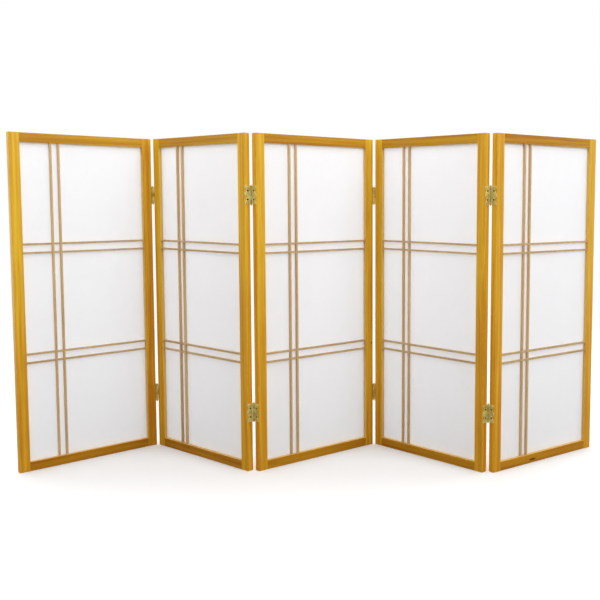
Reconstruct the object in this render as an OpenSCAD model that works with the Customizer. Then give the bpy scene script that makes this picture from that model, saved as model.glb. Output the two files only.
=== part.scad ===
// Folding shoji floor screen: wooden frames with a slender lattice and a paper sheet,
// joined edge to edge by pairs of small brass butt hinges whose barrels change side at
// every fold, so that the screen stands in a zigzag and stacks like an accordion.
// Each panel is drawn flat: X across its width, Y from its front face to its back face,
// Z up from the floor. It is then turned to its place in the zigzag.

/* [Panels] */
// Width of one panel
panel_w = 402; // [300:1:560]
// Height of one panel
panel_h = 914; // [700:1:1800]
// Thickness of the frame, front to back
frame_t = 18; // [16:0.5:28]
// Face width of a stile
stile_w = 27.5; // [22:0.5:50]
// Face width of the top and bottom rails
rail_w = 25; // [20:0.5:60]
// Radius on the long edges of stiles and rails
edge_r = 1; // [0.5:0.1:2]

/* [Lattice] */
// Face width of a lattice bar
bar_w = 5; // [3:0.5:8]
// Depth of a lattice bar, front to back
bar_d = 7; // [4:0.5:9]
// How far the bars lie behind the front face of the frame
bar_setback = 1.5; // [0.5:0.5:3]
// Pitch of the two upright bars, centre to centre
upright_pitch = 21.7; // [15:0.1:40]
// Pitch of the two bars in a level pair, centre to centre
level_pitch = 23.5; // [15:0.1:40]
// Clear width between the left stile and the first upright bar
left_field = 79; // [40:1:110]
// How far a bar end is let into the frame
bar_tenon = 4; // [2:0.5:8]

/* [Paper] */
// Thickness of the paper sheet
paper_t = 0.6; // [0.3:0.1:1.2]
// How far the paper is tucked into the frame
paper_tuck = 5; // [3:0.5:10]
// Clearance round the paper in its groove
groove_gap = 0.1; // [0.1:0.1:0.3]

/* [Hinges] */
// Clear gap between two neighbouring panels when the screen is flat
fold_gap = 4; // [3.4:0.1:6]
// How far a hinge axis stands proud of the frame face
axis_proud = 3; // [3:0.1:5]
// Height of a hinge
hinge_h = 49; // [40:1:76]
// Reach of a hinge leaf from its axis across the frame edge
leaf_reach = 21.5; // [20:0.5:22]
// Thickness of a hinge leaf
leaf_t = 1.5; // [1.2:0.1:1.6]
// Radius of the hinge barrel
barrel_r = 2.7; // [2.2:0.1:2.7]
// Radius of the hinge pin
pin_r = 1.2; // [1:0.1:1.4]
// Radial running clearance of the pin in its knuckles
pin_gap = 0.05; // [0.03:0.01:0.1]
// Height of the upper hinge centres below the top of the frame
hinge_from_top = 164; // [80:1:250]
// Height of the lower hinge centres above the floor
hinge_from_bottom = 161; // [80:1:250]

/* [Screws] */
// Spacing of the two screws in a leaf
screw_pitch = 23.5; // [20:0.5:26]
// Radius of a screw head
screw_head_r = 2.6; // [2:0.1:3]
// Radius of a screw shank
screw_r = 1.4; // [1:0.1:1.8]
// Length of a screw
screw_l = 14; // [10:1:20]

/* [Stance] */
// Heading of the middle panel
middle_heading = 41.4; // [0:0.1:60]
// Turn of the first fold away from flat, left to right
turn_1 = 82.4; // [0:0.1:180]
// Turn of the second fold away from flat
turn_2 = 80.2; // [0:0.1:176]
// Turn of the third fold away from flat
turn_3 = 83.5; // [0:0.1:176]
// Turn of the fourth fold away from flat
turn_4 = 80.2; // [0:0.1:180]

/* [Hidden] */
PANELS = [1:5];
FOLDS = [1:4];
MIDDLE = 3;
ROUND = 48;
THROUGH = 1;
HONEY = [0.84, 0.6, 0.2];
PALE_HONEY = [0.85, 0.68, 0.42];
PAPER_WHITE = [0.93, 0.93, 0.92];
BRASS = [0.82, 0.72, 0.36];

open_w = panel_w - 2 * stile_w;
open_h = panel_h - 2 * rail_w;
paper_y = bar_setback + bar_d;
bar_l_upright = open_h + 2 * bar_tenon;
bar_l_level = open_w + 2 * bar_tenon;
level_pair_h = level_pitch + bar_w;
// The two level pairs split the opening into three fields of one height.
field_h = (open_h - 2 * level_pair_h) / 3;
upright_x = [stile_w + left_field + bar_w / 2, stile_w + left_field + bar_w / 2 + upright_pitch];
lower_pair_z = rail_w + field_h + bar_w / 2;
upper_pair_z = lower_pair_z + level_pair_h + field_h;
hinge_z = [hinge_from_bottom, panel_h - hinge_from_top];

knuckles = 3;
knuckle_gap = 0.3;
knuckle_l = (hinge_h - (knuckles - 1) * knuckle_gap) / knuckles;
leaf_start = barrel_r + 0.9;
screw_y = axis_proud + frame_t / 2;
screw_head_h = leaf_t - 0.3;
screw_slot = [0.4, 0.7];
hole_gap = 0.1;
pin_head_r = 2.2;
pin_head_h = 1;
pin_ball_r = 1.8;
scallop_r = 8;
scallop_x = leaf_reach + 3;
tip_inset = 3.5;
pierce_r = 1.3;
pierce_pitch = 8;

TURNS = [turn_1, turn_2, turn_3, turn_4];

// The barrel of an odd fold lies in front of the frame, and that of an even fold behind it.
function in_front(fold) = fold % 2 == 1;

// Heading of a panel: each fold turns the next panel the other way.
function heading(i) =
    i == MIDDLE ? middle_heading
    : i < MIDDLE ? heading(i + 1) + (in_front(i) ? 1 : -1) * TURNS[i - 1]
    : heading(i - 1) + (in_front(i - 1) ? -1 : 1) * TURNS[i - 2];

// A point of a panel's plan, turned by the panel's heading.
function turned(a, p) = [p.x * cos(a) - p.y * sin(a), p.x * sin(a) + p.y * cos(a)];

function axis_y(fold) = in_front(fold) ? -axis_proud : frame_t + axis_proud;
function from_left_axis(i) = turned(heading(i), [-fold_gap / 2, axis_y(i - 1)]);
function from_right_axis(i) = turned(heading(i), [panel_w + fold_gap / 2, axis_y(i)]);

// Plan places, counted from the front left corner of the middle panel.
function fold_axis(k) =
    k < MIDDLE ? panel_corner(k + 1) + from_left_axis(k + 1) : panel_corner(k) + from_right_axis(k);
function panel_corner(i) =
    i == MIDDLE ? [0, 0]
    : i < MIDDLE ? fold_axis(i) - from_right_axis(i)
    : fold_axis(i - 1) - from_left_axis(i);

plan_points = concat(
    [for (i = PANELS) for (x = [0, panel_w]) for (y = [0, frame_t])
        panel_corner(i) + turned(heading(i), [x, y])],
    [for (k = FOLDS) for (s = [-barrel_r, barrel_r]) fold_axis(k) + [s, s]]
);
plan_x = [for (p = plan_points) p.x];
plan_y = [for (p = plan_points) p.y];
plan_centre = [(min(plan_x) + max(plan_x)) / 2, (min(plan_y) + max(plan_y)) / 2];

module place_panel(i) {
    c = panel_corner(i) - plan_centre;
    translate([c.x, c.y, 0]) rotate([0, 0, heading(i)]) children();
}

// Moves a leaf from the fold axis to a panel's edge. It is drawn with X from the gap's middle
// towards the panel, Y from the axis into the frame's thickness, and Z from the hinge's middle.
module at_hinges(fold, on_left_panel) {
    x = on_left_panel ? panel_w + fold_gap / 2 : -fold_gap / 2;
    for (z = hinge_z)
        translate([x, axis_y(fold), z])
            mirror([0, in_front(fold) ? 0 : 1, 0])
                mirror([on_left_panel ? 1 : 0, 0, 0])
                    children();
}

// Section of a frame member: a rectangle with its four corners rounded.
module rounded_section(a, b) {
    translate([edge_r, 0]) square([a - 2 * edge_r, b]);
    translate([0, edge_r]) square([a, b - 2 * edge_r]);
    for (x = [edge_r, a - edge_r])
        for (y = [edge_r, b - edge_r])
            translate([x, y]) circle(r = edge_r, $fn = ROUND);
}

// The slot round the opening that the paper's edge is tucked into.
module paper_groove() {
    tuck = paper_tuck + groove_gap;
    translate([stile_w - tuck, paper_y - groove_gap, rail_w - tuck])
        cube([open_w + 2 * tuck, paper_t + 2 * groove_gap, open_h + 2 * tuck]);
}

// The mortises that the bar ends are let into.
module bar_mortises() {
    for (x = upright_x)
        translate([x - bar_w / 2, bar_setback, rail_w - bar_tenon])
            cube([bar_w, bar_d, bar_l_upright]);
    for (pair = [lower_pair_z, upper_pair_z])
        for (z = [pair, pair + level_pitch])
            translate([stile_w - bar_tenon, bar_setback, z - bar_w / 2])
                cube([bar_l_level, bar_d, bar_w]);
}

module pilot_holes(fold, on_left_panel) {
    at_hinges(fold, on_left_panel)
        for (z = [-screw_pitch / 2, screw_pitch / 2])
            translate([fold_gap / 2 - leaf_t, screw_y, z])
                rotate([0, 90, 0])
                    cylinder(r = screw_r + hole_gap, h = screw_l + hole_gap, $fn = ROUND);
}

module stile(i, left) {
    fold = left ? i - 1 : i;
    color(HONEY)
        difference() {
            translate([left ? 0 : panel_w - stile_w, 0, 0])
                linear_extrude(panel_h) rounded_section(stile_w, frame_t);
            paper_groove();
            bar_mortises();
            if (fold > 0 && fold < 5)
                pilot_holes(fold, !left);
        }
}

module rail(z) {
    color(HONEY)
        difference() {
            translate([stile_w, 0, z])
                rotate([90, 0, 90])
                    linear_extrude(open_w) rounded_section(frame_t, rail_w);
            paper_groove();
            bar_mortises();
        }
}

// The upright bars keep their front half at a crossing, and the level bars their back half.
module upright_bars() {
    color(PALE_HONEY)
        for (x = upright_x)
            difference() {
                translate([x - bar_w / 2, bar_setback, rail_w - bar_tenon])
                    cube([bar_w, bar_d, bar_l_upright]);
                for (pair = [lower_pair_z, upper_pair_z])
                    for (z = [pair, pair + level_pitch])
                        translate([x - bar_w / 2 - THROUGH, bar_setback + bar_d / 2, z - bar_w / 2])
                            cube([bar_w + 2 * THROUGH, bar_d / 2 + THROUGH, bar_w]);
            }
}

module level_bars(pair) {
    color(PALE_HONEY)
        for (z = [pair, pair + level_pitch])
            difference() {
                translate([stile_w - bar_tenon, bar_setback, z - bar_w / 2])
                    cube([bar_l_level, bar_d, bar_w]);
                for (x = upright_x)
                    translate([x - bar_w / 2, bar_setback - THROUGH, z - bar_w / 2 - THROUGH])
                        cube([bar_w, bar_d / 2 + THROUGH, bar_w + 2 * THROUGH]);
            }
}

module paper() {
    color(PAPER_WHITE)
        translate([stile_w - paper_tuck, paper_y, rail_w - paper_tuck])
            cube([open_w + 2 * paper_tuck, paper_t, open_h + 2 * paper_tuck]);
}

// Outline of a leaf, X into the frame and Y along the hinge: a straight side at the barrel, and
// at the other side a tip at each end and one in the middle, with a scallop beside each screw.
module leaf_outline() {
    tip_x = leaf_reach - tip_inset;
    difference() {
        translate([leaf_start, -hinge_h / 2]) square([leaf_reach - leaf_start, hinge_h]);
        for (y = [-screw_pitch / 2, screw_pitch / 2])
            translate([scallop_x, y]) circle(r = scallop_r, $fn = ROUND);
        for (y = [-hinge_h / 2 + tip_inset, 0, hinge_h / 2 - tip_inset])
            translate([tip_x, y]) circle(r = pierce_r, $fn = ROUND);
        for (y = [-pierce_pitch / 2, pierce_pitch / 2])
            translate([leaf_start + 2 * pierce_r, y]) circle(r = pierce_r, $fn = ROUND);
    }
}

// Knuckle n, counted from the bottom, with the web that joins it to the leaf.
module knuckle(n) {
    z = -hinge_h / 2 + n * (knuckle_l + knuckle_gap);
    translate([0, 0, z]) cylinder(r = barrel_r, h = knuckle_l, $fn = ROUND);
    translate([fold_gap / 2 - leaf_t, 0, z]) cube([leaf_t, leaf_start + leaf_t, knuckle_l]);
}

// The leaf on the fold's left panel carries the outer knuckles, the other one the middle knuckle.
module hinge_leaf(outer) {
    color(BRASS)
        difference() {
            union() {
                translate([fold_gap / 2 - leaf_t, 0, 0])
                    rotate([90, 0, 90]) linear_extrude(leaf_t) leaf_outline();
                for (n = [0:knuckles - 1])
                    if ((n % 2 == 0) == outer)
                        knuckle(n);
            }
            translate([0, 0, -hinge_h / 2 - THROUGH])
                cylinder(r = pin_r + pin_gap, h = hinge_h + 2 * THROUGH, $fn = ROUND);
            for (z = [-screw_pitch / 2, screw_pitch / 2])
                translate([fold_gap / 2 - leaf_t, screw_y, z])
                    rotate([0, 90, 0]) {
                        cylinder(r1 = screw_head_r + hole_gap, r2 = screw_r + hole_gap,
                            h = screw_head_h, $fn = ROUND);
                        cylinder(r = screw_r + hole_gap, h = leaf_t + THROUGH, $fn = ROUND);
                    }
        }
}

module hinge_pin() {
    color(BRASS) {
        translate([0, 0, -hinge_h / 2 - pin_head_h])
            cylinder(r = pin_r, h = hinge_h + 2 * pin_head_h, $fn = ROUND);
        for (s = [0, 1])
            mirror([0, 0, s])
                translate([0, 0, hinge_h / 2]) {
                    cylinder(r = pin_head_r, h = pin_head_h, $fn = ROUND);
                    translate([0, 0, pin_head_h + pin_ball_r / 2]) sphere(r = pin_ball_r, $fn = ROUND);
                }
    }
}

// A countersunk screw with a straight slot, its head flush with the leaf.
module leaf_screws() {
    color(BRASS)
        for (z = [-screw_pitch / 2, screw_pitch / 2])
            translate([fold_gap / 2 - leaf_t, screw_y, z])
                rotate([0, 90, 0])
                    difference() {
                        union() {
                            cylinder(r1 = screw_head_r, r2 = screw_r, h = screw_head_h, $fn = ROUND);
                            cylinder(r = screw_r, h = screw_l, $fn = ROUND);
                        }
                        translate([-screw_head_r, -screw_slot.y / 2, -THROUGH])
                            cube([2 * screw_head_r, screw_slot.y, THROUGH + screw_slot.x]);
                    }
}

module panel_screws(i) {
    if (i > 1) at_hinges(i - 1, false) leaf_screws();
    if (i < 5) at_hinges(i, true) leaf_screws();
}

for (i = PANELS) {
    place_panel(i) stile(i, true);
    place_panel(i) stile(i, false);
    place_panel(i) rail(panel_h - rail_w);
    place_panel(i) rail(0);
    place_panel(i) upright_bars();
    place_panel(i) level_bars(upper_pair_z);
    place_panel(i) level_bars(lower_pair_z);
    place_panel(i) paper();
    place_panel(i) panel_screws(i);
}
for (k = FOLDS) {
    place_panel(k) at_hinges(k, true) hinge_leaf(true);
    place_panel(k + 1) at_hinges(k, false) hinge_leaf(false);
    place_panel(k) at_hinges(k, true) hinge_pin();
}
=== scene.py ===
"""Finishes, paper, hinge ornament, light and camera for the folding shoji floor screen.

The wooden frames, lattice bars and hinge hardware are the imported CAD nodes, which stay where they are and
take procedural finishes here. The paper sheets, the raised ornament of the hinge leaves and the screw heads
are modelled here.
Every length is in metres.
"""

import logging
import math
import random
from dataclasses import dataclass
from enum import Enum

import bmesh
import bpy
from mathutils import Matrix, Vector


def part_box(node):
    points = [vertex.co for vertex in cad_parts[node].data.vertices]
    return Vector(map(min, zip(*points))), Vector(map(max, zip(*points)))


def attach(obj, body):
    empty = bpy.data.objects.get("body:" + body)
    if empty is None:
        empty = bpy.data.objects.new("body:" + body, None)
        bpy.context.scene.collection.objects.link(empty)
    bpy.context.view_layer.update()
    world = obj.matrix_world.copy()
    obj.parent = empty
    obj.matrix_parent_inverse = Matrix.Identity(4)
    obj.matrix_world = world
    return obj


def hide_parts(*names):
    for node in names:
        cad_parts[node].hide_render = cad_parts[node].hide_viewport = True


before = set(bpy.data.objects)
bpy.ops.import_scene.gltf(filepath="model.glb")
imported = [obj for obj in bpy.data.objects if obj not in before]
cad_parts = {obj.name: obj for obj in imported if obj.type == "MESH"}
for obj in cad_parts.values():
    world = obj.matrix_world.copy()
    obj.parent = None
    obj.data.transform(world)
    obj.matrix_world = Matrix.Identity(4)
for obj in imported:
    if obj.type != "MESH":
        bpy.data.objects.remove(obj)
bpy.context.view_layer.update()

LOG = logging.getLogger("shoji_screen")
MM = 0.001
PANEL_NUMBERS = range(1, 6)
FOLD_NUMBERS = range(1, 5)

Colour = tuple[float, float, float, float]
Socket = bpy.types.NodeSocket
Line = list[tuple[float, float]]


def srgb(red: int, green: int, blue: int) -> Colour:
    """Turns a display colour into the linear colour that shaders work in.

    Args:
        red: Red channel, 0 to 255.
        green: Green channel, 0 to 255.
        blue: Blue channel, 0 to 255.

    Returns:
        The linear colour with full alpha.
    """
    def channel(value: int) -> float:
        """Linear value of one channel."""
        share = value / 255
        return share / 12.92 if share <= 0.04045 else ((share + 0.055) / 1.055) ** 2.4

    return channel(red), channel(green), channel(blue), 1.0


class Slot(Enum):
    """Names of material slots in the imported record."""

    PAPER = "rice_paper"
    BRASS = "hinge_brass"


class Grain(Enum):
    """Which way the wood grain of a piece runs, in its panel's own axes."""

    UPRIGHT = "upright"
    LEVEL = "level"


# ---------------------------------------------------------------------------------------------
# Panel geometry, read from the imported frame
# ---------------------------------------------------------------------------------------------


def corners(points: list[Vector]) -> tuple[Vector, Vector]:
    """Lowest and highest corners of the box round some points."""
    low = Vector(min(p[axis] for p in points) for axis in range(3))
    high = Vector(max(p[axis] for p in points) for axis in range(3))
    return low, high


@dataclass(frozen=True)
class PanelPlace:
    """Where one panel stands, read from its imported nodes.

    Attributes:
        number: Panel number, 1 at the left.
        corner: Front left corner of the panel's foot.
        heading: Angle of the panel's width from +X, in radians.
        width: Width of the panel.
        thickness: Thickness of the frame, front to back.
        stile: Face width of a stile.
        height: Height of the panel.
        rail: Face height of a rail.
    """

    number: int
    corner: Vector
    heading: float
    width: float
    thickness: float
    stile: float
    height: float
    rail: float

    @property
    def body(self) -> str:
        """Name of the CAD body that the panel's pieces ride on."""
        return f"panel_{self.number}"

    @property
    def to_row(self) -> Matrix:
        """Transform from the panel's own axes (across, front to back, up) to the row frame."""
        return Matrix.Translation(self.corner) @ Matrix.Rotation(self.heading, 4, "Z")

    def node(self, piece: str) -> str:
        """Name of one of this panel's CAD nodes."""
        return f"panel_{self.number}_{piece}"

    @classmethod
    def read(cls, number: int) -> "PanelPlace":
        """Works out a panel's place from its two stiles.

        Args:
            number: Panel number, 1 at the left.

        Returns:
            The panel's place and sizes.
        """
        left_low, left_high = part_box(f"panel_{number}_left_stile")
        right_low, right_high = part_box(f"panel_{number}_right_stile")
        across = (right_low + right_high - left_low - left_high) / 2
        heading = math.atan2(across.y, across.x)
        to_row = Matrix.Rotation(heading, 4, "Z")
        to_panel = to_row.inverted()
        points = [to_panel @ v.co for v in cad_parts[f"panel_{number}_left_stile"].data.vertices]
        low, high = corners(points)
        stile, thickness, height = high - low
        rail_low, rail_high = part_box(f"panel_{number}_bottom_rail")
        rail = rail_high.z - rail_low.z
        return cls(number, to_row @ low, heading, across.length + stile, thickness, stile, height, rail)

    def local_box(self, piece: str) -> tuple[Vector, Vector]:
        """Box of one of the panel's nodes in the panel's own axes.

        Args:
            piece: Name of the piece, without the panel's prefix.

        Returns:
            The lowest and highest corners.
        """
        to_panel = self.to_row.inverted()
        return corners([to_panel @ v.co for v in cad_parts[self.node(piece)].data.vertices])


# ---------------------------------------------------------------------------------------------
# Shader helpers
# ---------------------------------------------------------------------------------------------


class ShaderSheet:
    """Adds and joins the nodes of one node tree."""

    def __init__(self, tree: bpy.types.NodeTree) -> None:
        """Starts on a node tree.

        Args:
            tree: Node tree of a material or of a node group.
        """
        self.tree = tree

    def add(self, kind: str, settings: dict | None = None, **sockets: object) -> bpy.types.Node:
        """Adds a node, sets its properties, and fills or links its inputs.

        Args:
            kind: Node type, such as "ShaderNodeTexNoise".
            settings: Properties of the node itself.
            **sockets: Inputs by name with underscores for spaces, or by position as "in0". Each is
                a plain value or an output socket to link.

        Returns:
            The new node.
        """
        node = self.tree.nodes.new(kind)
        for name, value in (settings or {}).items():
            setattr(node, name, value)
        for name, value in sockets.items():
            key = int(name[2:]) if name.startswith("in") and name[2:].isdigit() else name.replace("_", " ")
            socket = node.inputs[key]
            if isinstance(value, Socket):
                self.tree.links.new(value, socket)
            else:
                socket.default_value = value
        return node

    def math(self, operation: str, *values: object, clamp: bool = False) -> Socket:
        """Output of a Math node."""
        inputs = {f"in{n}": value for n, value in enumerate(values)}
        return self.add("ShaderNodeMath", {"operation": operation, "use_clamp": clamp}, **inputs).outputs[0]

    def ramp(self, factor: Socket, low: float, high: float) -> Socket:
        """Output that rises smoothly from 0 to 1 as factor goes from low to high."""
        node = self.add("ShaderNodeMapRange", {"interpolation_type": "SMOOTHSTEP"}, Value=factor)
        node.inputs["From Min"].default_value = low
        node.inputs["From Max"].default_value = high
        return node.outputs["Result"]

    def fall(self, factor: Socket, low: float, high: float) -> Socket:
        """Output that sinks smoothly from 1 to 0 as factor goes from low to high."""
        return self.math("SUBTRACT", 1.0, self.ramp(factor, low, high))

    def scaled(self, mask: Socket, share: float) -> Socket:
        """A mask multiplied by a number."""
        return self.math("MULTIPLY", mask, share)

    def centred(self, mask: Socket, share: float) -> Socket:
        """A mask moved from round 0.5 to round 0 and multiplied by a number."""
        return self.math("MULTIPLY", self.math("SUBTRACT", mask, 0.5), share)

    def moved(self, vector: object, step: object) -> Socket:
        """A vector with another added."""
        return self.add("ShaderNodeVectorMath", {"operation": "ADD"}, in0=vector, in1=step).outputs[0]

    def length(self, vector: object) -> Socket:
        """Length of a vector."""
        return self.add("ShaderNodeVectorMath", {"operation": "LENGTH"}, in0=vector).outputs["Value"]

    def effect(self, group: bpy.types.ShaderNodeTree, **sockets: object) -> bpy.types.Node:
        """Places a shared effect with its own values."""
        return self.add("ShaderNodeGroup", {"node_tree": group}, **sockets)

    def mix(self, factor: object, first: object, second: object, blend: str = "MIX") -> Socket:
        """Output of a colour mix."""
        node = self.add("ShaderNodeMix", {"data_type": "RGBA", "blend_type": blend})
        for key, value in ((0, factor), (6, first), (7, second)):
            if isinstance(value, Socket):
                self.tree.links.new(value, node.inputs[key])
            else:
                node.inputs[key].default_value = value
        return node.outputs[2]

    def noise(self, vector: object, scale: object, detail: float, roughness: float = 0.5) -> Socket:
        """Value output of a noise texture."""
        node = self.add("ShaderNodeTexNoise", Vector=vector, Scale=scale, Detail=detail, Roughness=roughness)
        return node.outputs["Fac"]

    def stretched(self, vector: object, scale: tuple[float, float, float]) -> Socket:
        """A vector multiplied axis by axis."""
        node = self.add("ShaderNodeVectorMath", {"operation": "MULTIPLY"}, in0=vector, in1=scale)
        return node.outputs[0]


def new_group(name: str, inputs: dict[str, object], outputs: dict[str, str]) -> bpy.types.ShaderNodeTree:
    """Starts a shader node group with named sockets.

    Args:
        name: Name of the group.
        inputs: Input names with default values; a number makes a float socket and None a vector socket.
        outputs: Output names with their socket types.

    Returns:
        The empty group with its input and output nodes.
    """
    group = bpy.data.node_groups.new(name, "ShaderNodeTree")
    for socket_name, default in inputs.items():
        kind = "NodeSocketVector" if default is None else "NodeSocketFloat"
        socket = group.interface.new_socket(socket_name, in_out="INPUT", socket_type=kind)
        if default is not None:
            socket.default_value = default
    for socket_name, kind in outputs.items():
        group.interface.new_socket(socket_name, in_out="OUTPUT", socket_type=kind)
    group.nodes.new("NodeGroupInput")
    group.nodes.new("NodeGroupOutput")
    return group


def group_ends(group: bpy.types.ShaderNodeTree) -> tuple[bpy.types.Node, bpy.types.Node]:
    """The input and output nodes of a group."""
    return group.nodes["Group Input"], group.nodes["Group Output"]


class SharedEffects:
    """Node groups that several finishes use."""

    def __init__(self) -> None:
        """Builds the groups once."""
        self.grain = self._build_grain()
        self.fibres = self._build_fibres()
        self.mottle = self._build_mottle()
        self.wear = self._build_wear()

    @staticmethod
    def _build_grain() -> bpy.types.ShaderNodeTree:
        """Wood grain whose fibres run along the vector's Z.

        Returns:
            A group that gives a streak mask, a dark-line mask and a height.
        """
        group = new_group(
            "wood_grain",
            {"Vector": None, "Streaks": 1.0, "Seed": 0.0},
            {"Streak": "NodeSocketFloat", "Line": "NodeSocketFloat", "Height": "NodeSocketFloat"},
        )
        start, end = group_ends(group)
        sheet = ShaderSheet(group)
        shift = sheet.add("ShaderNodeCombineXYZ", X=start.outputs["Seed"], Y=start.outputs["Seed"], Z=0.0)
        place = sheet.moved(start.outputs["Vector"], shift.outputs[0])
        bend = sheet.centred(sheet.noise(sheet.stretched(place, (8, 8, 2.5)), 1.0, 2.0), 0.016)
        warped = sheet.moved(place, sheet.add("ShaderNodeCombineXYZ", X=bend, Y=bend, Z=0.0).outputs[0])
        broad = sheet.noise(sheet.stretched(warped, (120, 120, 2.2)), 1.0, 3.0, 0.55)
        streak = sheet.math("MULTIPLY", sheet.ramp(broad, 0.3, 0.7), start.outputs["Streaks"], clamp=True)
        rings = sheet.noise(sheet.stretched(warped, (420, 420, 3.5)), 1.0, 2.0, 0.5)
        line = sheet.ramp(rings, 0.56, 0.74)
        fibre = sheet.noise(sheet.stretched(warped, (1600, 1600, 22)), 1.0, 2.0, 0.6)
        height = sheet.math("ADD", sheet.scaled(fibre, 0.6), sheet.scaled(line, -0.4))
        group.links.new(streak, end.inputs["Streak"])
        group.links.new(line, end.inputs["Line"])
        group.links.new(height, end.inputs["Height"])
        return group

    @staticmethod
    def _build_fibres() -> bpy.types.ShaderNodeTree:
        """Long plant fibres laid every way, as in mulberry paper.

        Returns:
            A group that gives a fibre mask and a height.
        """
        group = new_group(
            "paper_fibres",
            {"Vector": None, "Seed": 0.0},
            {"Fibre": "NodeSocketFloat", "Cloud": "NodeSocketFloat", "Height": "NodeSocketFloat"},
        )
        start, end = group_ends(group)
        sheet = ShaderSheet(group)
        shift = sheet.add("ShaderNodeCombineXYZ", X=start.outputs["Seed"], Y=0.0, Z=start.outputs["Seed"])
        place = sheet.moved(start.outputs["Vector"], shift.outputs[0])
        layers = []
        for turn, scale in ((0.35, 46.0), (1.25, 60.0), (2.2, 52.0), (2.9, 70.0)):
            kind = {"rotation_type": "Y_AXIS"}
            turned = sheet.add("ShaderNodeVectorRotate", kind, Vector=place, Angle=turn)
            wave = sheet.noise(sheet.stretched(turned.outputs[0], (scale, scale, scale * 5)), 1.0, 3.0, 0.6)
            layers.append(sheet.fall(sheet.math("ABSOLUTE", sheet.math("SUBTRACT", wave, 0.5)), 0.0, 0.035))
        fibre = layers[0]
        for layer in layers[1:]:
            fibre = sheet.math("MAXIMUM", fibre, layer)
        sparse = sheet.ramp(sheet.noise(place, 38.0, 2.0), 0.45, 0.68)
        fibre = sheet.math("MULTIPLY", fibre, sparse)
        cloud = sheet.noise(place, 26.0, 4.0, 0.6)
        height = sheet.math("ADD", sheet.scaled(fibre, 0.7), sheet.scaled(cloud, 0.5))
        group.links.new(fibre, end.inputs["Fibre"])
        group.links.new(cloud, end.inputs["Cloud"])
        group.links.new(height, end.inputs["Height"])
        return group

    @staticmethod
    def _build_mottle() -> bpy.types.ShaderNodeTree:
        """Uneven tone in two sizes, for stain, varnish and tarnish.

        Returns:
            A group that gives a broad and a fine mask.
        """
        group = new_group(
            "mottle", {"Vector": None, "Scale": 20.0}, {"Broad": "NodeSocketFloat", "Fine": "NodeSocketFloat"}
        )
        start, end = group_ends(group)
        sheet = ShaderSheet(group)
        place, scale = start.outputs["Vector"], start.outputs["Scale"]
        group.links.new(sheet.noise(place, scale, 2.0), end.inputs["Broad"])
        group.links.new(sheet.noise(place, sheet.scaled(scale, 7.0), 3.0), end.inputs["Fine"])
        return group


    @staticmethod
    def _build_wear() -> bpy.types.ShaderNodeTree:
        """Patchy wear along edges.

        Returns:
            A group that gives a mask, 1 where an edge is rubbed.
        """
        group = new_group("edge_wear", {"Vector": None, "Edge": 1.0}, {"Worn": "NodeSocketFloat"})
        start, end = group_ends(group)
        sheet = ShaderSheet(group)
        patch = sheet.ramp(sheet.noise(start.outputs["Vector"], 60.0, 3.0, 0.6), 0.42, 0.62)
        group.links.new(sheet.math("MULTIPLY", start.outputs["Edge"], patch), end.inputs["Worn"])
        return group


# ---------------------------------------------------------------------------------------------
# Finishes
# ---------------------------------------------------------------------------------------------


@dataclass(frozen=True)
class Knot:
    """A small dark knot or mineral mark in a piece of wood, in the panel's own axes."""

    across: float
    up: float
    half_width: float
    half_height: float


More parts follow.
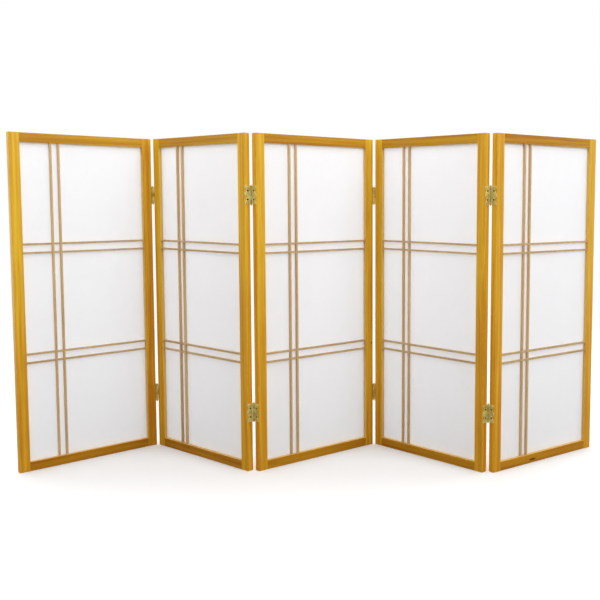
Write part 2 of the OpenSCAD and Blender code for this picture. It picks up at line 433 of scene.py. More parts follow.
@dataclass(frozen=True)
class HoneyWood:
    """Honey-stained softwood under a satin clear coat, one material per panel and grain direction."""

    effects: SharedEffects
    pale: Colour = srgb(244, 198, 48)
    deep: Colour = srgb(203, 135, 17)
    line: Colour = srgb(164, 92, 8)
    # Painted shade: multiplier that darkens and warms the wood toward the foot.
    foot_stain: Colour = (0.96, 0.83, 0.68, 1.0)
    inner_side: Colour = srgb(240, 206, 120)
    rubbed: Colour = srgb(246, 214, 120)
    rail_shade: Colour = (0.74, 0.66, 0.34, 1.0)
    knot: Colour = srgb(104, 50, 8)
    roughness: float = 0.45
    gloss: float = 0.22
    coat: float = 0.05
    coat_roughness: float = 0.25

    def build(
        self, name: str, panel: PanelPlace, grain: Grain, knots: tuple[Knot, ...] = ()
    ) -> bpy.types.Material:
        """Makes the material for the pieces of one panel whose grain runs one way.

        Args:
            name: Name of the material.
            panel: The panel that the pieces belong to.
            grain: Which way the grain runs.
            knots: Dark marks on these pieces.

        Returns:
            The finished material.
        """
        material, sheet, principled = start_material(name)
        place = panel_coordinates(sheet, panel)
        along = along_grain(sheet, place, grain)
        chance = sheet.add("ShaderNodeObjectInfo").outputs["Random"]
        seed = sheet.math("ADD", sheet.scaled(chance, 40.0), 3.7 * panel.number)
        wood = sheet.effect(self.effects.grain, Vector=along, Streaks=1.0, Seed=seed)
        mottle = sheet.effect(self.effects.mottle, Vector=along, Scale=6.0)
        streak = sheet.scaled(wood.outputs["Streak"], 0.62)
        broad = sheet.scaled(mottle.outputs["Broad"], 0.42)
        tone = sheet.math("ADD", sheet.math("ADD", streak, broad), sheet.centred(chance, 0.3), clamp=True)
        colour = sheet.mix(tone, self.pale, self.deep)
        if grain is Grain.LEVEL:
            colour = sheet.mix(1.0, colour, self.rail_shade, "MULTIPLY")
        colour = sheet.mix(sheet.scaled(wood.outputs["Line"], 0.38), colour, self.line)
        # Painted shade: the wood is darkened and warmed toward the foot, standing in for the light falling
        # off lower down.
        up = sheet.add("ShaderNodeSeparateXYZ", Vector=place).outputs["Z"]
        foot_shade_mask = sheet.fall(up, 0.05 * panel.height, 0.8 * panel.height)
        colour = sheet.mix(foot_shade_mask, colour, sheet.mix(1.0, colour, self.foot_stain, "MULTIPLY"))
        inner, arris = self._inner_and_arris(sheet, place, panel, grain)
        colour = sheet.mix(sheet.scaled(inner, 0.55), colour, self.inner_side)
        worn = sheet.effect(self.effects.wear, Vector=place, Edge=arris).outputs["Worn"]
        colour = sheet.mix(sheet.scaled(worn, 0.5), colour, self.rubbed)
        for mark in knots:
            colour = sheet.mix(knot_mask(sheet, place, mark), colour, self.knot)
        uneven, height = mottle.outputs["Fine"], wood.outputs["Height"]
        finish_principled(sheet, principled, colour, self.roughness, uneven, height, 0.12)
        principled.inputs["Specular IOR Level"].default_value = self.gloss
        principled.inputs["Coat Weight"].default_value = self.coat
        principled.inputs["Coat Roughness"].default_value = self.coat_roughness
        return material

    @staticmethod
    def _inner_and_arris(
        sheet: ShaderSheet, place: Socket, panel: PanelPlace, grain: Grain
    ) -> tuple[Socket, Socket]:
        """Masks of the faces that look in on the paper and of the long rounded edges.

        Args:
            sheet: The sheet to add nodes to.
            place: Coordinates in the panel's own axes.
            panel: The panel.
            grain: Which way the grain runs, upright for a stile and level for a rail.

        Returns:
            The mask of the inner faces and the mask of the edges.
        """
        axes = sheet.add("ShaderNodeSeparateXYZ", Vector=place).outputs
        skin, curve = 0.3 * MM, 1.0 * MM
        if grain is Grain.UPRIGHT:
            axis, half, border = "X", panel.width / 2, panel.stile
        else:
            axis, half, border = "Z", panel.height / 2, panel.rail
        off_middle = sheet.math("ABSOLUTE", sheet.math("SUBTRACT", axes[axis], half))
        inner = sheet.fall(off_middle, half - border + 0.1 * skin, half - border + skin)
        from_centre_line = sheet.math("ABSOLUTE", sheet.math("SUBTRACT", off_middle, half - border / 2))
        beside = sheet.ramp(from_centre_line, border / 2 - curve, border / 2 - skin)
        deep = sheet.math("ABSOLUTE", sheet.math("SUBTRACT", axes["Y"], panel.thickness / 2))
        near_face = sheet.ramp(deep, panel.thickness / 2 - curve, panel.thickness / 2 - skin)
        return inner, sheet.math("MULTIPLY", beside, near_face)


@dataclass(frozen=True)
class LatticeWood:
    """Slender bars, stained on their front faces and paler on their sides."""

    effects: SharedEffects
    front: Colour = srgb(214, 178, 122)
    front_deep: Colour = srgb(196, 156, 98)
    side: Colour = srgb(222, 188, 136)
    side_deep: Colour = srgb(204, 164, 108)
    rubbed: Colour = srgb(226, 194, 142)
    # Painted shade: multiplier that darkens and greys the level bars.
    level_bar_painted_shade: Colour = (0.86, 0.88, 0.88, 1.0)
    roughness: float = 0.5
    coat: float = 0.15
    coat_roughness: float = 0.3
    stain_depth: float = 0.35 * MM

    def build(self, name: str, panel: PanelPlace, grain: Grain, front: float) -> bpy.types.Material:
        """Makes the material for one panel's bars whose grain runs one way.

        Args:
            name: Name of the material.
            panel: The panel that the bars belong to.
            grain: Which way the grain runs.
            front: Depth of the bars' front faces behind the panel's front face.

        Returns:
            The finished material.
        """
        material, sheet, principled = start_material(name)
        place = panel_coordinates(sheet, panel)
        along = along_grain(sheet, place, grain)
        wood = sheet.effect(self.effects.grain, Vector=along, Streaks=1.0, Seed=1.9 * panel.number)
        mottle = sheet.effect(self.effects.mottle, Vector=along, Scale=14.0)
        depth = sheet.add("ShaderNodeSeparateXYZ", Vector=place).outputs["Y"]
        on_side = sheet.ramp(depth, front + self.stain_depth, front + 3 * self.stain_depth)
        front_colour = sheet.mix(wood.outputs["Streak"], self.front, self.front_deep)
        side_colour = sheet.mix(wood.outputs["Streak"], self.side, self.side_deep)
        colour = sheet.mix(on_side, front_colour, side_colour)
        # Painted shade: the level bars are darkened and greyed, standing in for the shadow that falls under
        # them.
        if grain is Grain.LEVEL:
            colour = sheet.mix(1.0, colour, self.level_bar_painted_shade, "MULTIPLY")
        near_front = sheet.fall(depth, front + 0.1 * self.stain_depth, front + self.stain_depth)
        worn = sheet.effect(self.effects.wear, Vector=place, Edge=near_front).outputs["Worn"]
        colour = sheet.mix(sheet.scaled(worn, 0.3), colour, self.rubbed)
        uneven, height = mottle.outputs["Fine"], wood.outputs["Height"]
        finish_principled(sheet, principled, colour, self.roughness, uneven, height, 0.1)
        principled.inputs["Coat Weight"].default_value = self.coat
        principled.inputs["Coat Roughness"].default_value = self.coat_roughness
        return material


@dataclass(frozen=True)
class RicePaper:
    """White fibrous paper, laminated and slightly translucent."""

    effects: SharedEffects
    body: Colour = srgb(250, 250, 251)
    cloud: Colour = srgb(249, 249, 250)
    fibre: Colour = srgb(252, 252, 252)
    roughness: float = 0.75
    light_through: float = 0.6

    def build(self) -> bpy.types.Material:
        """Makes the paper's material. Object coordinates are the panel's own axes on a paper sheet.

        Returns:
            The finished material.
        """
        material, sheet, principled = start_material("rice_paper_sheet")
        place = sheet.add("ShaderNodeTexCoord").outputs["Object"]
        chance = sheet.add("ShaderNodeObjectInfo").outputs["Random"]
        fibres = sheet.effect(self.effects.fibres, Vector=place, Seed=sheet.scaled(chance, 30.0))
        cloud, height = fibres.outputs["Cloud"], fibres.outputs["Height"]
        colour = sheet.mix(sheet.ramp(cloud, 0.3, 0.7), self.cloud, self.body)
        colour = sheet.mix(sheet.scaled(fibres.outputs["Fibre"], 0.7), colour, self.fibre)
        finish_principled(sheet, principled, colour, self.roughness, cloud, height, 0.1)
        through = sheet.add("ShaderNodeBsdfTranslucent", Color=colour)
        shaders = {"in1": principled.outputs[0], "in2": through.outputs[0]}
        blend = sheet.add("ShaderNodeMixShader", in0=self.light_through, **shaders)
        output = sheet.tree.nodes["Material Output"]
        sheet.tree.links.new(blend.outputs[0], output.inputs["Surface"])
        return material


@dataclass(frozen=True)
class PaleBrass:
    """Pale lacquered brass with darker lacquer settled in its low places, which on the screws also carries
    painted shade.
    """

    effects: SharedEffects
    bright: Colour = srgb(255, 244, 162)
    dull: Colour = srgb(250, 219, 112)
    dark: Colour = srgb(84, 62, 12)

    def build(self, name: str, darkness: float, roughness: float, metal: float) -> bpy.types.Material:
        """Makes a brass material.

        Args:
            name: Name of the material.
            darkness: How much dark lacquer shows, from about 0 to 1; on the screws the full dark is partly
                painted shade of the recess round each head.
            roughness: Middle roughness.
            metal: Metallic share, less where clear lacquer lies thick.

        Returns:
            The finished material.
        """
        material, sheet, principled = start_material(name)
        place = sheet.add("ShaderNodeTexCoord").outputs["Object"]
        mottle = sheet.effect(self.effects.mottle, Vector=place, Scale=90.0)
        colour = sheet.mix(sheet.ramp(mottle.outputs["Broad"], 0.35, 0.65), self.bright, self.dull)
        fine = mottle.outputs["Fine"]
        # Dark lacquer in low places; on the screws, at full darkness, it is partly painted shade of the
        # recess round each head.
        lacquer_and_painted_shade_mask = sheet.math("ADD", sheet.centred(fine, 1.6), darkness, clamp=True)
        colour = sheet.mix(lacquer_and_painted_shade_mask, colour, self.dark)
        edge = sheet.ramp(sheet.add("ShaderNodeNewGeometry").outputs["Pointiness"], 0.51, 0.6)
        worn = sheet.effect(self.effects.wear, Vector=place, Edge=edge).outputs["Worn"]
        colour = sheet.mix(sheet.scaled(worn, 0.6), colour, self.bright)
        finish_principled(sheet, principled, colour, roughness, fine, fine, 0.15)
        principled.inputs["Metallic"].default_value = metal
        return material


def start_material(name: str) -> tuple[bpy.types.Material, ShaderSheet, bpy.types.Node]:
    """Starts a node material.

    Args:
        name: Name of the material.

    Returns:
        The material, the sheet that adds its nodes, and its Principled node.
    """
    material = bpy.data.materials.new(name)
    material.use_nodes = True
    sheet = ShaderSheet(material.node_tree)
    return material, sheet, material.node_tree.nodes["Principled BSDF"]


def panel_coordinates(sheet: ShaderSheet, panel: PanelPlace) -> Socket:
    """Coordinates across, front to back and up a panel, for a CAD node whose object sits at the origin.

    Args:
        sheet: The sheet to add nodes to.
        panel: The panel that the node belongs to.

    Returns:
        The vector in the panel's own axes.
    """
    place = sheet.add("ShaderNodeTexCoord").outputs["Object"]
    moved = sheet.moved(place, -panel.corner)
    kind = {"rotation_type": "Z_AXIS"}
    return sheet.add("ShaderNodeVectorRotate", kind, Vector=moved, Angle=-panel.heading).outputs[0]


def along_grain(sheet: ShaderSheet, place: Socket, grain: Grain) -> Socket:
    """Coordinates turned so that Z runs along the grain.

    Args:
        sheet: The sheet to add nodes to.
        place: Coordinates in the panel's own axes.
        grain: Which way the grain runs.

    Returns:
        The coordinates for the grain.
    """
    if grain is Grain.UPRIGHT:
        return place
    kind = {"rotation_type": "Y_AXIS"}
    return sheet.add("ShaderNodeVectorRotate", kind, Vector=place, Angle=math.pi / 2).outputs[0]


def knot_mask(sheet: ShaderSheet, place: Socket, mark: Knot) -> Socket:
    """Mask of one knot, soft at its edge.

    Args:
        sheet: The sheet to add nodes to.
        place: Coordinates in the panel's own axes.
        mark: The knot.

    Returns:
        The mask, 1 in the middle of the knot.
    """
    moved = sheet.moved(place, (-mark.across, 0, -mark.up))
    scaled = sheet.stretched(moved, (1 / mark.half_width, 0, 1 / mark.half_height))
    return sheet.fall(sheet.length(scaled), 0.55, 1.0)


def finish_principled(
    sheet: ShaderSheet,
    principled: bpy.types.Node,
    colour: Socket,
    roughness: float,
    uneven: Socket,
    height: Socket,
    bump: float,
) -> None:
    """Feeds colour, uneven roughness and a bump to a Principled node.

    Args:
        sheet: The sheet to add nodes to.
        principled: The Principled node.
        colour: Base colour.
        roughness: Middle roughness.
        uneven: Mask that varies the roughness.
        height: Height for the bump.
        bump: Strength of the bump.
    """
    swing = sheet.centred(uneven, 0.24)
    sheet.tree.links.new(colour, principled.inputs["Base Color"])
    sheet.tree.links.new(sheet.math("ADD", swing, roughness, clamp=True), principled.inputs["Roughness"])
    bumped = sheet.add("ShaderNodeBump", Strength=bump, Distance=0.2 * MM, Height=height)
    sheet.tree.links.new(bumped.outputs["Normal"], principled.inputs["Normal"])


# ---------------------------------------------------------------------------------------------
# Sub-assemblies
# ---------------------------------------------------------------------------------------------


def dress(node: str, material: bpy.types.Material) -> None:
    """Puts one material on every slot of a CAD node.

    Args:
        node: Name of the CAD node.
        material: The material.
    """
    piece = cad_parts[node]
    if not piece.material_slots:
        piece.data.materials.append(material)
    for slot in piece.material_slots:
        slot.material = material


@dataclass
class FramedPanel:
    """One panel: stiles, rails, lattice and paper.

    Attributes:
        place: Where the panel stands.
        wood: Finish of the frame.
        lattice: Finish of the bars.
        paper: Material of the paper sheet.
        rail_knots: Dark marks on the rails.
        stile_knots: Dark marks on the stiles.
        cockle: How far the paper swells out of flat between the bars.
        paper_gap: Clearance between the paper and the backs of the bars.
        paper_cell: Size of the paper mesh's squares.
        held_margin: Width of the border that the frame holds nearly flat.
    """

    place: PanelPlace
    wood: HoneyWood
    lattice: LatticeWood
    paper: bpy.types.Material
    rail_knots: tuple[Knot, ...] = ()
    stile_knots: tuple[Knot, ...] = ()
    cockle: float = 0.35 * MM
    paper_gap: float = 0.05 * MM
    paper_cell: float = 9 * MM
    held_margin: float = 30 * MM

    def build(self) -> None:
        """Dresses the CAD pieces and makes the paper sheet."""
        self._dress_frame()
        self._dress_lattice()
        self._make_paper()

    def _dress_frame(self) -> None:
        """Gives the stiles upright grain and the rails level grain."""
        name = self.place.body
        upright = self.wood.build(f"{name}_stile_wood", self.place, Grain.UPRIGHT, self.stile_knots)
        level = self.wood.build(f"{name}_rail_wood", self.place, Grain.LEVEL, self.rail_knots)
        for piece in ("left_stile", "right_stile"):
            dress(self.place.node(piece), upright)
        for piece in ("top_rail", "bottom_rail"):
            dress(self.place.node(piece), level)
        LOG.info("%s: frame dressed", name)

    def _dress_lattice(self) -> None:
        """Gives the bars their stained fronts and paler sides."""
        name = self.place.body
        front = self.place.local_box("upright_bars")[0].y
        upright = self.lattice.build(f"{name}_upright_bar_wood", self.place, Grain.UPRIGHT, front)
        level = self.lattice.build(f"{name}_level_bar_wood", self.place, Grain.LEVEL, front)
        dress(self.place.node("upright_bars"), upright)
        for piece in ("upper_bars", "lower_bars"):
            dress(self.place.node(piece), level)
        LOG.info("%s: lattice dressed", name)

    def _make_paper(self) -> None:
        """Makes the paper as a thin sheet that swells a little, in place of the flat CAD sheet."""
        low, high = self.place.local_box("paper")
        mesh = bpy.data.meshes.new(f"{self.place.body}_paper_sheet")
        shape = self._paper_shape(low, high)
        shape.to_mesh(mesh)
        shape.free()
        mesh.materials.append(self.paper)
        sheet = bpy.data.objects.new(f"{self.place.body}_paper_sheet", mesh)
        bpy.context.scene.collection.objects.link(sheet)
        sheet.matrix_world = self.place.to_row
        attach(sheet, self.place.body)
        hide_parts(self.place.node("paper"))
        held_by = [self.place.node(p) for p in ("left_stile", "right_stile", "top_rail", "bottom_rail")]
        LOG.info("%s: paper sheet, %d faces", self.place.body, len(mesh.polygons))

    def _paper_shape(self, low: Vector, high: Vector) -> bmesh.types.BMesh:
        """Shapes the paper in the panel's own axes.

        Args:
            low: Lowest corner of the CAD sheet.
            high: Highest corner of the CAD sheet.

        Returns:
            The closed shape of the sheet.
        """
        rng = random.Random(self.place.number)
        waves = []
        for _ in range(5):
            across, up = rng.uniform(6, 16), rng.uniform(4, 12)
            waves.append((across, up, rng.uniform(0, math.tau), rng.uniform(0.3, 1)))
        total = sum(wave[3] for wave in waves)

        def swell(x: float, z: float) -> float:
            """Depth of the cockle at a place on the sheet, 0 at its held edges."""
            edge = min(x - low.x, high.x - x, z - low.z, high.z - z)
            hold = min(1.0, max(0.0, edge / self.held_margin))
            lift = sum(k * (1 + math.sin(a * x * 4 + b * z * 4 + c)) / 2 for a, b, c, k in waves) / total
            return self.cockle * hold * hold * lift

        columns = round((high.x - low.x) / self.paper_cell)
        rows = round((high.z - low.z) / self.paper_cell)
        shape = bmesh.new()
        front_y, thick = low.y + self.paper_gap, high.y - low.y - 2 * self.paper_gap
        sheets = []
        for depth in (0.0, thick):
            grid = []
            for row in range(rows + 1):
                z = low.z + (high.z - low.z) * row / rows
                line = []
                for column in range(columns + 1):
                    x = low.x + (high.x - low.x) * column / columns
                    line.append(shape.verts.new((x, front_y + depth + swell(x, z), z)))
                grid.append(line)
            sheets.append(grid)
        front, back = sheets
        for row in range(rows):
            for column in range(columns):
                square = ((row, column), (row, column + 1), (row + 1, column + 1), (row + 1, column))
                shape.faces.new([front[r][c] for r, c in square])
                shape.faces.new([back[r][c] for r, c in reversed(square)])
        rim = [(0, c) for c in range(columns)] + [(r, columns) for r in range(rows)]
        rim += [(rows, c) for c in range(columns, 0, -1)] + [(r, 0) for r in range(rows, 0, -1)]
        for (r0, c0), (r1, c1) in zip(rim, rim[1:] + rim[:1]):
            shape.faces.new((front[r1][c1], front[r0][c0], back[r0][c0], back[r1][c1]))
        for face in shape.faces:
            face.smooth = True
        bmesh.ops.recalc_face_normals(shape, faces=shape.faces)
        return shape


class Relief:
    """Collects raised ornament on a flat face: ridges along lines and low domes.

    Its own axes are X away from the hinge barrel, Y along the hinge and Z out of the face.

    Attributes:
        SINK: How far the ornament is let into the face.
        SLOT_HALF: Half the width of a screw's slot.
        SLOT_DEPTH: Depth of a screw's slot.
        RIDGE_STEPS: Facets across a ridge.
        RINGS: Rings of facets up a dome.
        AROUND: Facets round a dome.
    """

    SINK = 0.05 * MM
    SLOT_HALF = 0.28 * MM
    SLOT_DEPTH = 0.2 * MM
    RIDGE_STEPS = 6
    RINGS = 6
    AROUND = 28

    def __init__(self) -> None:
        """Starts empty."""
        self.shape = bmesh.new()

    def ridge(self, line: Line, half_width: float, height: float, closed: bool = False) -> None:
        """Adds a rounded ridge along a line.

        Args:
            line: Points of the line.
            half_width: Half the ridge's width at its foot.
            height: Height of its crest.
            closed: Whether the line joins up.
        """
        points = [Vector((*point, 0)) for point in line]
        count, steps = len(points), self.RIDGE_STEPS
        rows = []
        for index, point in enumerate(points):
            before = points[index - 1] if index or closed else point
            after = points[(index + 1) % count] if index < count - 1 or closed else point
            along = (after - before).normalized()
            aside = Vector((-along.y, along.x, 0))
            taper = 1.0 if closed else min(1.0, 0.35 + 1.3 * min(index, count - 1 - index) / count)
            row = []
            for step in range(steps + 1):
                angle = math.pi * step / steps
                lift = Vector((0, 0, height * taper * math.sin(angle) - self.SINK))
                row.append(self.shape.verts.new(point + aside * half_width * taper * math.cos(angle) + lift))
            rows.append(row)
        pairs = list(zip(rows, rows[1:])) + ([(rows[-1], rows[0])] if closed else [])
        for first, second in pairs:
            for step in range(steps):
                self.shape.faces.new((first[step], first[step + 1], second[step + 1], second[step]))
            self.shape.faces.new((first[steps], first[0], second[0], second[steps]))
        if not closed:
            self.shape.faces.new(rows[0])
            self.shape.faces.new(list(reversed(rows[-1])))

    def dome(
        self, centre: tuple[float, float], radii: tuple[float, float], height: float, slot: bool = False
    ) -> None:
        """Adds a low dome with a flat foot.

        Args:
            centre: Middle of the dome.
            radii: Half its size in X and in Y.
            height: Height of its top.
            slot: Whether a screwdriver slot is sunk across its top.
        """
        rows = []
        for ring in range(self.RINGS):
            angle = math.pi / 2 * ring / self.RINGS
            row = []
            for step in range(self.AROUND):
                turn = math.tau * step / self.AROUND
                x = radii[0] * math.cos(angle) * math.cos(turn)
                y = radii[1] * math.cos(angle) * math.sin(turn)
                z = height * math.sin(angle) - self.SINK
                if slot and abs(y) < self.SLOT_HALF and ring:
                    z = max(-self.SINK / 2, z - self.SLOT_DEPTH)
                row.append(self.shape.verts.new((centre[0] + x, centre[1] + y, z)))
            rows.append(row)
        top = height - self.SINK - (self.SLOT_DEPTH if slot else 0.0)
        crown = self.shape.verts.new((*centre, top))
        for step in range(self.AROUND):
            after = (step + 1) % self.AROUND
            for first, second in zip(rows, rows[1:]):
                self.shape.faces.new((first[step], first[after], second[after], second[step]))
            self.shape.faces.new((rows[-1][step], rows[-1][after], crown))
        self.shape.faces.new(list(reversed(rows[0])))

    def finish(self, name: str, places: list[Matrix], material: bpy.types.Material, body: str) -> None:
        """Copies the ornament to each of its places, as one object that rides on a body.

        Args:
            name: Name of the piece.
            places: Where the ornament goes.
            material: Its material.
            body: The CAD body that it rides on.
        """
        bmesh.ops.recalc_face_normals(self.shape, faces=self.shape.faces)
        single = bpy.data.meshes.new(f"{name}_single")
        self.shape.to_mesh(single)
        self.shape.free()
        whole = bmesh.new()
        for place in places:
            start = len(whole.verts)
            whole.from_mesh(single)
            whole.verts.ensure_lookup_table()
            bmesh.ops.transform(whole, matrix=place, verts=whole.verts[start:])
        bmesh.ops.recalc_face_normals(whole, faces=whole.faces)
        for face in whole.faces:
            face.smooth = len(face.verts) <= 4
        mesh = bpy.data.meshes.new(name)
        whole.to_mesh(mesh)
        whole.free()
        bpy.data.meshes.remove(single)
        mesh.materials.append(material)
        piece = bpy.data.objects.new(name, mesh)
        bpy.context.scene.collection.objects.link(piece)
        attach(piece, body)
        LOG.info("%s: %d faces", name, len(mesh.polygons))


@dataclass
class FoldHinges:
    """The two ornate butt hinges of one fold.

    Attributes:
        number: Fold number, 1 at the left.
        left: The panel at the fold's left.
        right: The panel at the fold's right.
        leaf: Material of the leaves.
        relief: Material of the raised ornament.
        pin: Material of the pins.
        leaf_thickness: Thickness of a leaf.
        leaf_inner: Where a leaf's plate begins, from the hinge axis.
        leaf_reach: Where it ends.
        half_height: Half the height of a hinge.
        screw_reach: Distance of the screws from the hinge axis.
        screw_pitch: Spacing of the two screws.
        scallop: Radius of the scallop beside each screw.
        scallop_out: How far its middle lies beyond the leaf's end.
        seat_radius: Radius of the raised ring round a screw.
        seat_half_width: Half the width of that ring's ridge.
        seat_crest: Height of that ring.
        scroll_middle: Middle of a scroll, from the hinge axis and from the hinge's middle.
        scroll_radius: Radius at a scroll's outer end.
        scroll_wind: How far a scroll winds in.
        scroll_half_width: Half the width of a scroll's ridge.
        rim_inset: Distance of the raised rim from the edge.
        rim_half_width: Half the rim's width.
        crest: Height of the ornament above the leaf.
    """

    number: int
    left: PanelPlace
    right: PanelPlace
    leaf: bpy.types.Material
    relief: bpy.types.Material
    pin: bpy.types.Material
    leaf_thickness: float = 1.5 * MM
    leaf_inner: float = 3.6 * MM
    leaf_reach: float = 21.5 * MM
    half_height: float = 24.5 * MM
    screw_reach: float = 12.0 * MM
    screw_pitch: float = 23.5 * MM
    scallop: float = 8.0 * MM
    scallop_out: float = 3.0 * MM
    seat_radius: float = 3.3 * MM
    seat_half_width: float = 0.45 * MM
    seat_crest: float = 0.22 * MM
    scroll_middle: tuple[float, float] = (9.2 * MM, 4.6 * MM)
    scroll_radius: float = 3.6 * MM
    scroll_wind: float = 2.7 * MM
    scroll_half_width: float = 0.5 * MM
    rim_inset: float = 0.95 * MM
    rim_half_width: float = 0.95 * MM
    crest: float = 0.3 * MM

    def build(self) -> None:
        """Dresses the leaves and pins, and raises the ornament on both leaves."""
        for piece in ("left_leaves", "right_leaves"):
            dress(f"fold_{self.number}_{piece}", self.leaf)
        dress(f"fold_{self.number}_pins", self.pin)
        for side, panel in (("left", self.left), ("right", self.right)):
            name = f"fold_{self.number}_{side}_ornament"
            self._ornament().finish(name, self._places(panel), self.relief, panel.body)

    def _places(self, panel: PanelPlace) -> list[Matrix]:
        """Where the ornament lies on the leaves of one panel.

        Args:
            panel: The panel that the leaves are on.

        Returns:
            One transform for each hinge.
        """
        pins = [v.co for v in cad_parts[f"fold_{self.number}_pins"].data.vertices]
        middle_height = (min(p.z for p in pins) + max(p.z for p in pins)) / 2
        to_panel = panel.to_row.inverted()
        inward = 1 if panel is self.left else -1
        face = panel.width + self.leaf_thickness if panel is self.left else -self.leaf_thickness
        places = []
        for hinge in ([p for p in pins if p.z < middle_height], [p for p in pins if p.z >= middle_height]):
            low, high = corners(hinge)
            axis_at = to_panel @ ((low + high) / 2)
            back = 1 if axis_at.y < panel.thickness / 2 else -1
            basis = Matrix(((0, 0, inward), (back, 0, 0), (0, 1, 0))).to_4x4()
            places.append(panel.to_row @ Matrix.Translation((face, axis_at.y, axis_at.z)) @ basis)
        return places

    def _ornament(self) -> Relief:
        """Raised rim, seats round the screws, and scrolls on one leaf.

        Returns:
            The ornament in the leaf's own axes.
        """
        relief = Relief()
        relief.ridge(self._rim(), self.rim_half_width, self.crest, closed=True)
        tip = self.leaf_reach - 3.5 * MM
        for side in (-1, 1):
            screw_y = side * self.screw_pitch / 2
            seat = []
            for n in range(24):
                turn = math.tau * n / 24
                x = self.screw_reach + self.seat_radius * math.cos(turn)
                seat.append((x, screw_y + self.seat_radius * math.sin(turn)))
            relief.ridge(seat, self.seat_half_width, self.seat_crest, closed=True)
            relief.ridge(self._scroll(side), self.scroll_half_width, self.crest)
            drop_y = side * (self.half_height - 3.3 * MM)
            relief.dome((tip - 4.2 * MM, drop_y), (2 * MM, 1.1 * MM), self.crest)
            relief.dome((5.6 * MM, side * (self.half_height - 3.4 * MM)), (1.3 * MM, 1.9 * MM), self.crest)
            relief.dome((6.0 * MM, screw_y), (0.9 * MM, 2.6 * MM), self.crest)
        relief.dome((tip - 3.6 * MM, 0.0), (1.9 * MM, 1.2 * MM), self.crest)
        return relief

    def _scroll(self, side: int) -> Line:
        """A small scroll between the screws, above the middle for side 1 and below it for side -1."""
        across, up = self.scroll_middle
        line = []
        for n in range(26):
            angle, radius = 0.5 + 5.4 * n / 25, self.scroll_radius - self.scroll_wind * n / 25
            line.append((across + radius * math.cos(angle), side * (up + radius * math.sin(angle))))
        return line

    def _rim(self) -> Line:
        """Line of the raised rim, a little inside the leaf's outline.

        Returns:
            The points of a closed line.
        """
        inset = self.rim_inset
        left, right, top = self.leaf_inner + inset, self.leaf_reach - inset, self.half_height - inset
        centre_x, radius = self.leaf_reach + self.scallop_out, self.scallop + inset
        half = math.sqrt(radius * radius - (centre_x - right) ** 2)
        opening = math.asin(half / radius)
        line = [(left, -top), (right, -top)]
        for middle in (-self.screw_pitch / 2, self.screw_pitch / 2):
            for n in range(13):
                angle = math.pi + opening - 2 * opening * n / 12
                line.append((centre_x + radius * math.cos(angle), middle + radius * math.sin(angle)))
        return line + [(right, top), (left, top)]


@dataclass
class PanelScrews:
    """Round screw heads of one panel's hinge leaves.

    Attributes:
        panel: The panel.
        finish: Dark, glossy material of the screws; its darkness is partly painted shade, standing in for the
            shadowed recess round each head.
        head_radius: Radius of a head.
        head_height: How far a head stands proud of the leaf.
    """

    panel: PanelPlace
    finish: bpy.types.Material
    head_radius: float = 2.4 * MM
    head_height: float = 0.4 * MM

    def build(self) -> None:
        """Dresses the screws and raises a slotted dome on each."""
        node = self.panel.node("screws")
        # Painted shade: the flat CAD screw faces go dark, standing in for the shadow round each head.
        dress(node, self.finish)
        domes = Relief()
        domes.dome((0.0, 0.0), (self.head_radius, self.head_radius), self.head_height, slot=True)
        domes.finish(f"{self.panel.body}_screw_heads", self._places(node), self.finish, self.panel.body)

    def _places(self, node: str) -> list[Matrix]:
        """Finds the middle of each screw's face.

        Args:
            node: Name of the CAD node of the screws.

        Returns:
            One transform for each screw, Z out of its face and Y upright.
        """
        to_panel = self.panel.to_row.inverted()
        shape = bmesh.new()
        shape.from_mesh(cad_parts[node].data)
        places, left_over = [], set(shape.verts)
        while left_over:
            island, edge = set(), [left_over.pop()]
            while edge:
                vertex = edge.pop()
                island.add(vertex)
                for link in vertex.link_edges:
                    other = link.other_vert(vertex)
                    if other in left_over:
                        left_over.discard(other)
                        edge.append(other)
            low, high = corners([to_panel @ vertex.co for vertex in island])
            on_right = low.x > self.panel.width / 2
            outward = 1 if on_right else -1
            face = high.x if on_right else low.x
            basis = Matrix(((0, 0, outward), (-outward, 0, 0), (0, -1, 0))).to_4x4()
            middle = (low + high) / 2
            places.append(self.panel.to_row @ Matrix.Translation((face, middle.y, middle.z)) @ basis)
        shape.free()
        return sorted(places, key=lambda place: (round(place.translation.x, 4), place.translation.z))


# ---------------------------------------------------------------------------------------------
# Stage
# ---------------------------------------------------------------------------------------------


@dataclass(frozen=True)
class Softbox:
    """One rectangular studio light.

    Attributes:
        name: Name of the light.
        place: Where its middle hangs.
        aim: The point that it faces.
        size: Width and height of its cloth.
        power: Power in watts.
    """

    name: str
    place: tuple[float, float, float]
    aim: tuple[float, float, float]
    size: tuple[float, float]
    power: float

    def hang(self) -> None:
        """Adds the light to the scene."""
        data = bpy.data.lights.new(self.name, "AREA")
        data.shape = "RECTANGLE"
        data.size, data.size_y = self.size
        data.energy = self.power
        lamp = bpy.data.objects.new(self.name, data)
        lamp.location = self.place
        lamp.rotation_euler = (Vector(self.aim) - Vector(self.place)).to_track_quat("-Z", "Y").to_euler()
        bpy.context.scene.collection.objects.link(lamp)


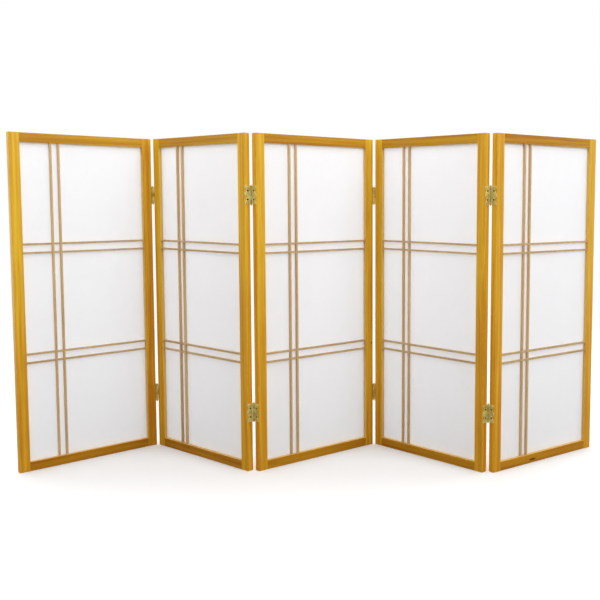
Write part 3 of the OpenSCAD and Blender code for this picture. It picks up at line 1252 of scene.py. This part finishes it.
@dataclass
class Studio:
    """Pale floor, soft lights and the camera.

    Attributes:
        floor_radius: Radius of the floor.
        floor_drop: How far the floor lies below the screen's feet.
        floor_white: How white the floor looks.
        floor_bounce: How much light the floor throws back at the screen.
        front_light: Strength of the surround in front of the screen.
        back_light: Strength of the surround behind the screen.
        softboxes: The lights.
        eye: Place of the camera.
        pitch: Tilt of the camera from level, in degrees, negative where it looks down.
        yaw: Turn of the camera from +Y, in degrees, negative to the left.
        roll: Tilt of the camera to one side, in degrees.
        lens: Focal length for a 36 mm sensor.
        shift: Sensor shift for an off-centre framing.
    """

    floor_radius: float = 4.0
    floor_drop: float = 0.2 * MM
    floor_white: float = 0.86
    floor_bounce: float = 0.26
    front_light: float = 0.2
    back_light: float = 1.85
    softboxes: tuple[Softbox, ...] = (
        Softbox("overhead_softbox", (0.0, -1.3, 2.25), (0.0, 0.0, 0.4), (3.0, 0.7), 24.0),
        Softbox("right_softbox", (4.2, -2.6, 2.9), (0.0, 0.0, 0.5), (2.4, 1.8), 106.0),
        Softbox("left_softbox", (-4.2, -2.6, 2.9), (0.0, 0.0, 0.5), (2.4, 1.8), 58.0),
    )
    eye: tuple[float, float, float] = (0.2277, -2.3771, 0.7382)
    pitch: float = -4.808
    yaw: float = -0.436
    roll: float = 0.105
    lens: float = 50.79
    shift: tuple[float, float] = (-0.15303, -0.04843)

    def build(self) -> None:
        """Makes the floor, lights, world and camera."""
        self._make_floor()
        self._make_world()
        for box in self.softboxes:
            box.hang()
        self._make_camera()

    def _make_floor(self) -> None:
        """Lays a round pale floor under the screen, which fades out into the white surround."""
        mesh = bpy.data.meshes.new("studio_floor")
        shape = bmesh.new()
        bmesh.ops.create_circle(shape, cap_ends=True, segments=96, radius=self.floor_radius)
        shape.to_mesh(mesh)
        shape.free()
        material, sheet, principled = start_material("studio_floor")
        seen = sheet.add("ShaderNodeLightPath").outputs["Is Camera Ray"]
        grey, white = (*[self.floor_bounce] * 3, 1.0), (*[self.floor_white] * 3, 1.0)
        sheet.tree.links.new(sheet.mix(seen, grey, white), principled.inputs["Base Color"])
        principled.inputs["Roughness"].default_value = 0.9
        principled.inputs["Specular IOR Level"].default_value = 0.0
        place = sheet.add("ShaderNodeTexCoord").outputs["Object"]
        clear = sheet.add("ShaderNodeBsdfTransparent")
        fade = sheet.ramp(sheet.length(place), self.floor_radius * 0.45, self.floor_radius * 0.95)
        blend = sheet.add("ShaderNodeMixShader", in0=fade, in1=principled.outputs[0], in2=clear.outputs[0])
        sheet.tree.links.new(blend.outputs[0], sheet.tree.nodes["Material Output"].inputs["Surface"])
        mesh.materials.append(material)
        floor = bpy.data.objects.new("studio_floor", mesh)
        floor.location.z = -self.floor_drop
        bpy.context.scene.collection.objects.link(floor)

    def _make_world(self) -> None:
        """Makes a white surround that lights the screen more from behind than from in front."""
        world = bpy.data.worlds.new("studio_surround")
        world.use_nodes = True
        sheet = ShaderSheet(world.node_tree)
        direction = sheet.add("ShaderNodeTexCoord").outputs["Generated"]
        behind = sheet.add("ShaderNodeSeparateXYZ", Vector=direction).outputs["Y"]
        level = sheet.add("ShaderNodeMapRange", {"interpolation_type": "SMOOTHSTEP"}, Value=behind)
        limits = {"From Min": -0.4, "From Max": 0.4, "To Min": self.front_light, "To Max": self.back_light}
        for socket, value in limits.items():
            level.inputs[socket].default_value = value
        seen = sheet.add("ShaderNodeLightPath").outputs["Is Camera Ray"]
        strength = sheet.mix(seen, level.outputs["Result"], (1.0, 1.0, 1.0, 1.0))
        background = world.node_tree.nodes["Background"]
        world.node_tree.links.new(strength, background.inputs["Color"])
        bpy.context.scene.world = world

    def _make_camera(self) -> None:
        """Stands the camera in front, a little above the middle of the screen."""
        data = bpy.data.cameras.new("camera")
        data.sensor_width = 36
        data.lens = self.lens
        data.shift_x, data.shift_y = self.shift
        camera = bpy.data.objects.new("camera", data)
        turn = Matrix.Rotation(-math.radians(self.yaw), 4, "Z")
        tilt = Matrix.Rotation(math.radians(90 + self.pitch), 4, "X")
        roll = Matrix.Rotation(math.radians(self.roll), 4, "Z")
        camera.matrix_world = Matrix.Translation(self.eye) @ turn @ tilt @ roll
        bpy.context.scene.collection.objects.link(camera)
        bpy.context.scene.camera = camera


def main() -> None:
    """Builds the finishes, the panels, the hinges and the studio in order."""
    logging.basicConfig(level=logging.INFO, format="%(name)s: %(message)s")
    bpy.context.scene.view_settings.view_transform = "Standard"
    effects = SharedEffects()
    wood = HoneyWood(effects)
    lattice = LatticeWood(effects)
    paper = RicePaper(effects).build()
    brass = PaleBrass(effects)
    leaf_brass = brass.build("leaf_brass", darkness=0.46, roughness=0.34, metal=0.45)
    relief_brass = brass.build("relief_brass", darkness=-0.2, roughness=0.26, metal=0.2)
    # Painted shade: the screws take dark brass all over, partly standing in for the shadowed recess round
    # each head.
    screw_brass = brass.build("screw_brass", darkness=1.0, roughness=0.22, metal=0.6)
    places = {number: PanelPlace.read(number) for number in PANEL_NUMBERS}
    rail_knots = {5: (Knot(153 * MM, 9.5 * MM, 17 * MM, 3.4 * MM),)}
    stile_knots = {3: (Knot(396.5 * MM, 311 * MM, 2.4 * MM, 3.4 * MM),)}
    for number, place in places.items():
        marks = rail_knots.get(number, ()), stile_knots.get(number, ())
        FramedPanel(place, wood, lattice, paper, *marks).build()
        PanelScrews(place, screw_brass).build()
    for number in FOLD_NUMBERS:
        FoldHinges(number, places[number], places[number + 1], leaf_brass, relief_brass, relief_brass).build()
    Studio().build()


if __name__ == "__main__":
    main()
